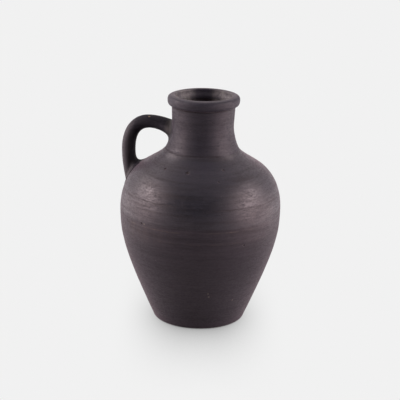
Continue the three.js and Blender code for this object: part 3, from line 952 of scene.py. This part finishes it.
# Painted shade in reflections: the paper is dimmer in glossy rays near a band through the pot
mirrored = share_of(tree, across, 0.12, 0.6, top=0.95, bottom=0.5)
path = place(tree, "ShaderNodeLightPath", {}).outputs
brightness = blended(tree, path["Is Glossy Ray"], paper_level, mirrored)
glow = reckon(tree, "MULTIPLY", shaded, brightness)
paper = place(tree, "ShaderNodeEmission", {"Color": white, "Strength": glow}).outputs[0]
matt = place(tree, "ShaderNodeBsdfDiffuse", {"Color": paper_grey}).outputs[0]
clear = place(tree, "ShaderNodeBsdfTransparent", {}).outputs[0]
seen = reckon(tree, "MAXIMUM", path["Is Camera Ray"], path["Is Glossy Ray"])
seen = reckon(tree, "MAXIMUM", seen, path["Is Transmission Ray"])
top_side = place(tree, "ShaderNodeMixShader", {0: seen, 1: matt, 2: paper}).outputs[0]
from_below = place(tree, "ShaderNodeNewGeometry", {}).outputs["Backfacing"]
surface = place(tree, "ShaderNodeMixShader", {0: from_below, 1: top_side, 2: clear}).outputs[0]
tree.links.new(surface, tree.nodes["Material Output"].inputs["Surface"])
floor_mesh.materials.append(floor_finish)
floor = bpy.data.objects.new("studio_floor", floor_mesh)
bpy.context.scene.collection.objects.link(floor)


# Light: a pale studio with a tall soft screen on either side, a lit backdrop, a little light from above and
# a dim front. The screens give the pot its two soft highlights and its dark middle, and a low card of a
# warmer tone on either side lights its edges.
front_level = 0.03
left_level = 8.3
right_level = 7.0
back_level = 0.6
top_level = 0.23
below_level = 0.5
card_size = (0.6, 0.18)
card_reach = 0.45
card_tone = (1.0, 0.87, 0.86)
# Each card: its name, its side, its level and how far it stands behind the pot
cards = (("left_card", -1, 1.35, 0.06), ("right_card", 1, 2.1, -0.06))

studio = bpy.data.worlds.new("studio")
bpy.context.scene.world = studio
studio.use_nodes = True
tree = studio.node_tree
way = from_front(tree, place(tree, "ShaderNodeTexCoord", {}).outputs["Generated"])
slant = reckon(tree, "MULTIPLY_ADD", way["Z"], -0.6, way["Y"])


def screen(level, on_side, slants, heights):
    """A soft screen's light: kept to its side, and faded in and out over two slants and two heights."""
    edges = [share_of(tree, slant, *fade, soft=True) for fade in slants]
    edges += [share_of(tree, way["Z"], *fade, soft=True) for fade in heights]
    for mask in (on_side, *edges):
        level = reckon(tree, "MULTIPLY", level, mask)
    return level


left_screen = screen(left_level, reckon(tree, "LESS_THAN", way["X"], 0.0),
                     ((-0.78, -0.28), (0.34, -0.08)), ((-0.22, 0.42), (0.8, 0.46)))
right_screen = screen(right_level, reckon(tree, "GREATER_THAN", way["X"], 0.0),
                      ((-0.93, -0.43), (0.18, -0.2)), ((-0.24, 0.38), (0.8, 0.46)))
backdrop = share_of(tree, way["Y"], 0.1, 0.8, top=back_level, soft=True)
ceiling = share_of(tree, way["Z"], 0.45, 0.85, top=top_level, soft=True)
underneath = share_of(tree, way["Z"], -0.3, -0.6, top=below_level, soft=True)
level = front_level
for part in (left_screen, right_screen, backdrop, ceiling, underneath):
    level = reckon(tree, "ADD", level, part)
seen = place(tree, "ShaderNodeLightPath", {}).outputs["Is Camera Ray"]
sky = tree.nodes["Background"]
sky.inputs["Color"].default_value = white
tree.links.new(blended(tree, seen, level, paper_level), sky.inputs["Strength"])

for name, side, card_level, behind in cards:
    card_light = bpy.data.lights.new(name, "AREA")
    card_light.shape = "RECTANGLE"
    card_light.color = card_tone
    card_light.size = card_size[0]
    card_light.size_y = card_size[1]
    card_light.energy = card_level * math.pi * card_size[0] * card_size[1]
    card = bpy.data.objects.new(name, card_light)
    standing = Matrix.Rotation(side * math.radians(90), 4, "Z") @ Matrix.Rotation(math.radians(90), 4, "X")
    stood = Matrix.Translation((side * card_reach, behind, card_size[1] / 2)) @ standing
    card.matrix_world = Matrix.Rotation(front_turn, 4, "Z") @ stood
    card.visible_camera = False
    bpy.context.scene.collection.objects.link(card)


# Camera: a long lens a little above the pot's rim, which sees the handle on the left, as in the photograph.
# It is aimed just above the middle of the pot and rolled by about a degree.
view_height = math.radians(17)
view_distance = 1.637
view_roll = math.radians(1.05)
view_lens = 129.2
aim_up = 0.0068
aim_right = -0.0004
middle = Vector((0, 0, cad_box[1].z / 2))
back_way = Vector((math.sin(front_turn) * math.cos(view_height),
                   -math.cos(front_turn) * math.cos(view_height), math.sin(view_height)))
right_way = Vector((math.cos(front_turn), math.sin(front_turn), 0))
up_way = back_way.cross(right_way)

camera_data = bpy.data.cameras.new("studio_camera")
camera_data.sensor_width = 36
camera_data.lens = view_lens
camera = bpy.data.objects.new("studio_camera", camera_data)
camera.location = middle + back_way * view_distance
aim = middle + up_way * aim_up + right_way * aim_right
aimed = (aim - camera.location).to_track_quat("-Z", "Y").to_matrix().to_4x4()
camera.matrix_world = Matrix.Translation(camera.location) @ aimed @ Matrix.Rotation(view_roll, 4, "Z")
bpy.context.scene.collection.objects.link(camera)
bpy.context.scene.camera = camera
bpy.context.scene.view_settings.view_transform = "Standard"
